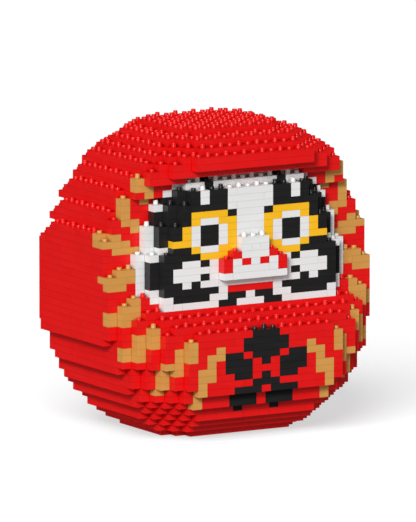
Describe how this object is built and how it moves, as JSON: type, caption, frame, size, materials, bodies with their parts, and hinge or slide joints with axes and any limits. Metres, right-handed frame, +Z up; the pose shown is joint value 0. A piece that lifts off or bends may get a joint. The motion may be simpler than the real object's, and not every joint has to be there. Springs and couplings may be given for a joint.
{
  "type": "brick-built daruma doll",
  "caption": "Brick-built daruma doll: a hollow round red body of small studded bricks in stepped courses, with a bearded white face, gold scroll marks and a flower crest.",
  "frame": {"origin": "centre of the bounding box on the base plane, Z = 0 at the underside of the lowest course", "axes": "+Z up; the face looks along -Y; left in node names is the -X side; X is the symmetry direction of the doll's left and right halves"},
  "size_m": [0.174, 0.132, 0.1786],
  "materials": {
    "red": "glossy moulded plastic, bright red",
    "gold": "glossy moulded plastic, tan gold",
    "white": "glossy moulded plastic, white",
    "black": "glossy moulded plastic, black",
    "yellow": "glossy moulded plastic, warm yellow"
  },
  "bodies": {
    "root": {"base_course": "red", "belly_emblem_black": "black", "belly_ledge_courses": "red", "cheek_white_left": "white", "cheek_white_right": "white", "chin_black": "black", "chin_level_courses": "red", "chin_white": "white", "crown_cap": "red", "crown_courses": "red", "eye_level_courses": "red", "eye_ring_left": "yellow", "eye_ring_right": "yellow", "eye_white_left": "white", "eye_white_right": "white", "eyebrow_black_left": "black", "eyebrow_black_right": "black", "eyebrow_level_courses": "red", "foot_courses": "red", "forehead_white": "white", "gold_scroll_1_left": "gold", "gold_scroll_1_right": "gold", "gold_scroll_2_left": "gold", "gold_scroll_2_right": "gold", "gold_scroll_3_left": "gold", "gold_scroll_3_right": "gold", "gold_scroll_4_left": "gold", "gold_scroll_4_right": "gold", "gold_scroll_5_left": "gold", "gold_scroll_5_right": "gold", "gold_scroll_6_left": "gold", "gold_scroll_6_right": "gold", "gold_scroll_7_left": "gold", "gold_scroll_7_right": "gold", "gold_scroll_8_left": "gold", "gold_scroll_8_right": "gold", "hood_brow_courses": "red", "hood_rim_courses": "red", "inner_frame_lower": "red", "inner_frame_middle": "red", "inner_frame_upper": "red", "lower_belly_courses": "red", "lower_bowl_courses": "red", "middle_belly_courses": "red", "mouth_level_courses": "red", "mouth_red": "red", "nose_level_courses": "red", "nose_white": "white", "nostrils_red": "red", "pupil_left": "black", "pupil_right": "black", "temple_black_left": "black", "temple_black_right": "black", "temple_white_left": "white", "temple_white_right": "white", "upper_belly_courses": "red", "whisker_black_left": "black", "whisker_black_right": "black"}
  },
  "joints": []
}
